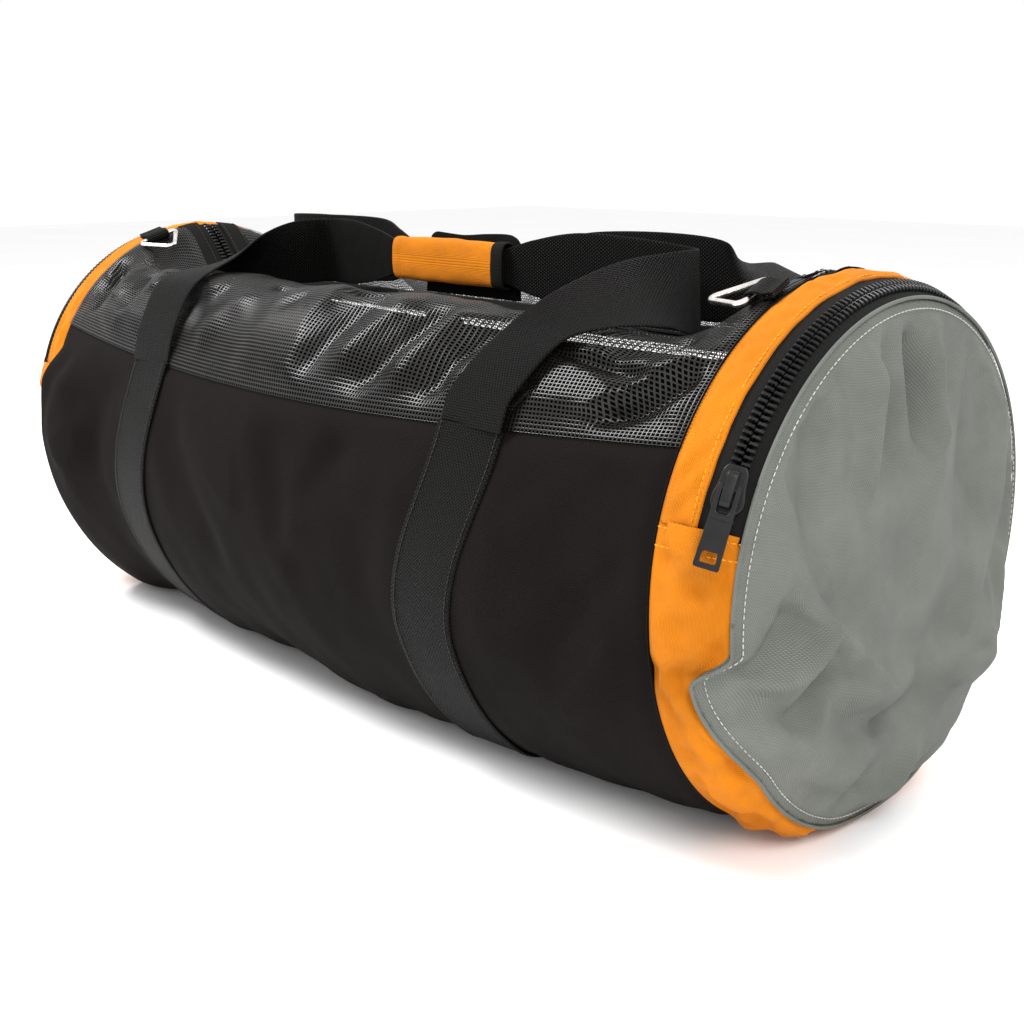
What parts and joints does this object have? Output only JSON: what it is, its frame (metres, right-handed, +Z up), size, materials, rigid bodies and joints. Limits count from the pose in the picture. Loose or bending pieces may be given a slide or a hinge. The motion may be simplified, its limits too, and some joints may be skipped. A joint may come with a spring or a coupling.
{
  "type": "duffel bag",
  "caption": "Mesh-top gear duffel bag with zipped end pockets, two webbing carry handles with a padded grip, and a strap ring at each end.",
  "frame": {"origin": "centre of the bag on the surface that it rests on", "axes": "+X along the bag to the right end, -Y to the front where the front handle is sewn, +Z up"},
  "size_m": [0.7958, 0.356, 0.3298],
  "materials": {
    "black_fabric": "black woven polyester, matt",
    "black_mesh": "open square mesh of glossy coated yarn",
    "grey_fabric": "grey woven nylon, soft sheen",
    "yellow_fabric": "golden yellow twill",
    "webbing": "black ribbed polypropylene webbing",
    "binding_tape": "black bias tape",
    "zip_tape": "black zip tape",
    "zip_plastic": "black moulded teeth",
    "zip_slider": "black satin lacquer",
    "ring_steel": "bright nickel-plated wire"
  },
  "bodies": {
    "bag": {"back_mesh_panel": "black_mesh", "back_zip_binding": "binding_tape", "back_zip_tape": "zip_tape", "back_zip_teeth": "zip_plastic", "front_mesh_panel": "black_mesh", "front_zip_binding": "binding_tape", "front_zip_tape": "zip_tape", "front_zip_teeth": "zip_plastic", "left_bulkhead": "black_fabric", "left_end_panel": "grey_fabric", "left_girth_strap": "webbing", "left_inner_tape": "zip_tape", "left_inner_teeth": "zip_plastic", "left_lower_band": "yellow_fabric", "left_outer_tape": "zip_tape", "left_outer_teeth": "zip_plastic", "left_ring_tab": "webbing", "left_upper_band": "yellow_fabric", "left_zip_stops": "zip_plastic", "lower_panel": "black_fabric", "main_zip_stops": "zip_plastic", "right_bulkhead": "black_fabric", "right_end_panel": "grey_fabric", "right_girth_strap": "webbing", "right_inner_tape": "zip_tape", "right_inner_teeth": "zip_plastic", "right_lower_band": "yellow_fabric", "right_outer_tape": "zip_tape", "right_outer_teeth": "zip_plastic", "right_ring_tab": "webbing", "right_upper_band": "yellow_fabric", "right_zip_stops": "zip_plastic"},
    "main_slider": {"main_slider": "zip_slider"},
    "main_pull": {"main_pull": "zip_slider"},
    "front_handle": {"front_handle_strap": "webbing", "grip_sleeve": "yellow_fabric", "grip_left_binding": "binding_tape", "grip_right_binding": "binding_tape", "grip_lining": "binding_tape"},
    "grip_flap": {"grip_flap": "binding_tape"},
    "back_handle": {"back_handle_strap": "webbing"},
    "right_slider": {"right_slider": "zip_slider"},
    "right_pull": {"right_pull": "zip_slider"},
    "right_ring": {"right_ring": "ring_steel"},
    "left_slider": {"left_slider": "zip_slider"},
    "left_pull": {"left_pull": "zip_slider"},
    "left_ring": {"left_ring": "ring_steel"}
  },
  "joints": [
    {"name": "main_zip_run", "type": "slide", "parent": "bag", "child": "main_slider", "axis": [1, 0, 0], "range_m": [0, 0.42]},
    {"name": "main_pull_swing", "type": "hinge", "parent": "main_slider", "child": "main_pull", "pos_m": [-0.246, 0, 0.2735], "axis": [0, -1, 0], "range_deg": [0, 150]},
    {"name": "right_zip_run", "type": "hinge", "parent": "bag", "child": "right_slider", "pos_m": [0.366, 0, 0.16], "axis": [-1, 0, 0], "range_deg": [0, 131]},
    {"name": "right_pull_swing", "type": "hinge", "parent": "right_slider", "child": "right_pull", "pos_m": [0.36915, -0.14338, 0.22534], "axis": [-0.9003, -0.3961, 0.1805], "range_deg": [0, 150]},
    {"name": "right_ring_swing", "type": "hinge", "parent": "bag", "child": "right_ring", "pos_m": [0.317, -0.05615, 0.30867], "axis": [-0.1415, 0.9382, 0.3158], "range_deg": [0, 140]},
    {"name": "left_zip_run", "type": "hinge", "parent": "bag", "child": "left_slider", "pos_m": [-0.366, 0, 0.16], "axis": [1, 0, 0], "range_deg": [0, 131]},
    {"name": "left_pull_swing", "type": "hinge", "parent": "left_slider", "child": "left_pull", "pos_m": [-0.36915, 0.14338, 0.22534], "axis": [0.9003, 0.3961, 0.1805], "range_deg": [0, 150]},
    {"name": "left_ring_swing", "type": "hinge", "parent": "bag", "child": "left_ring", "pos_m": [-0.317, -0.05615, 0.30867], "axis": [-0.1415, -0.9382, -0.3158], "range_deg": [0, 140]},
    {"name": "front_handle_swing", "type": "hinge", "parent": "bag", "child": "front_handle", "pos_m": [0, -0.16131, 0.23269], "axis": [1, 0, 0], "range_deg": [0, 160]},
    {"name": "back_handle_swing", "type": "hinge", "parent": "bag", "child": "back_handle", "pos_m": [0, 0.16143, 0.23265], "axis": [-1, 0, 0], "range_deg": [0, 165]},
    {"name": "grip_flap_fold", "type": "hinge", "parent": "front_handle", "child": "grip_flap", "pos_m": [0.022, 0.0071, 0.309], "axis": [-1, 0, 0], "range_deg": [0, 28]}
  ]
}
